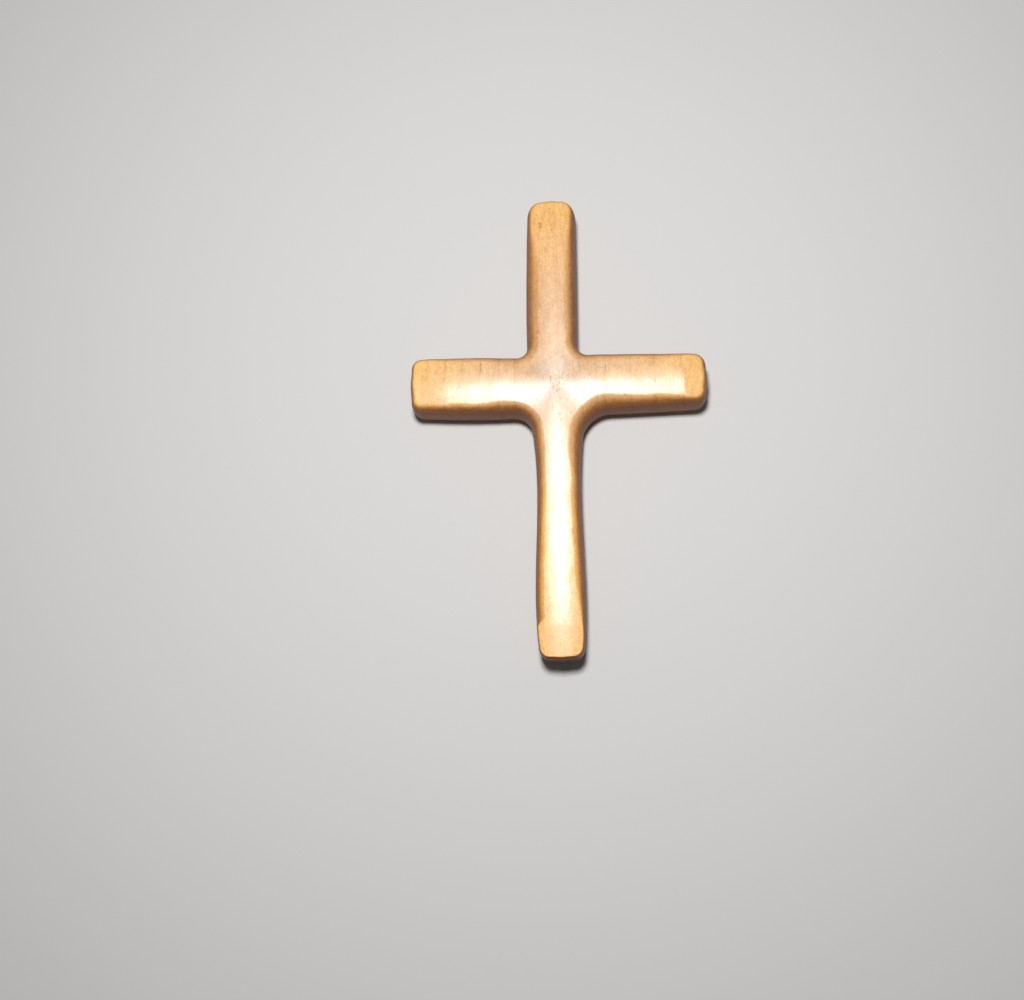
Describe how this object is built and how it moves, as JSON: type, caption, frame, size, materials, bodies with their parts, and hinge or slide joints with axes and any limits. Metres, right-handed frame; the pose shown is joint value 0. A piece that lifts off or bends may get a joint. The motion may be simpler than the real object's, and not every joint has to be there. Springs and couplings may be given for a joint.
{
  "type": "wooden cross",
  "caption": "Small hand-carved wooden cross, its upright and crossbar halved together, crowned in front and flat behind, to hold or to lay down.",
  "frame": {"origin": "middle of the cross's outline, on the surface that its flat back rests on", "axes": "+X along the crossbar to its right end, +Y up the upright to its head, +Z out of the crowned front face"},
  "size_m": [0.0358, 0.056, 0.0066],
  "materials": {
    "upright_wood": "satin",
    "crossbar_wood": "satin"
  },
  "bodies": {
    "root": {"upright": "upright_wood", "crossbar": "crossbar_wood"}
  },
  "joints": []
}
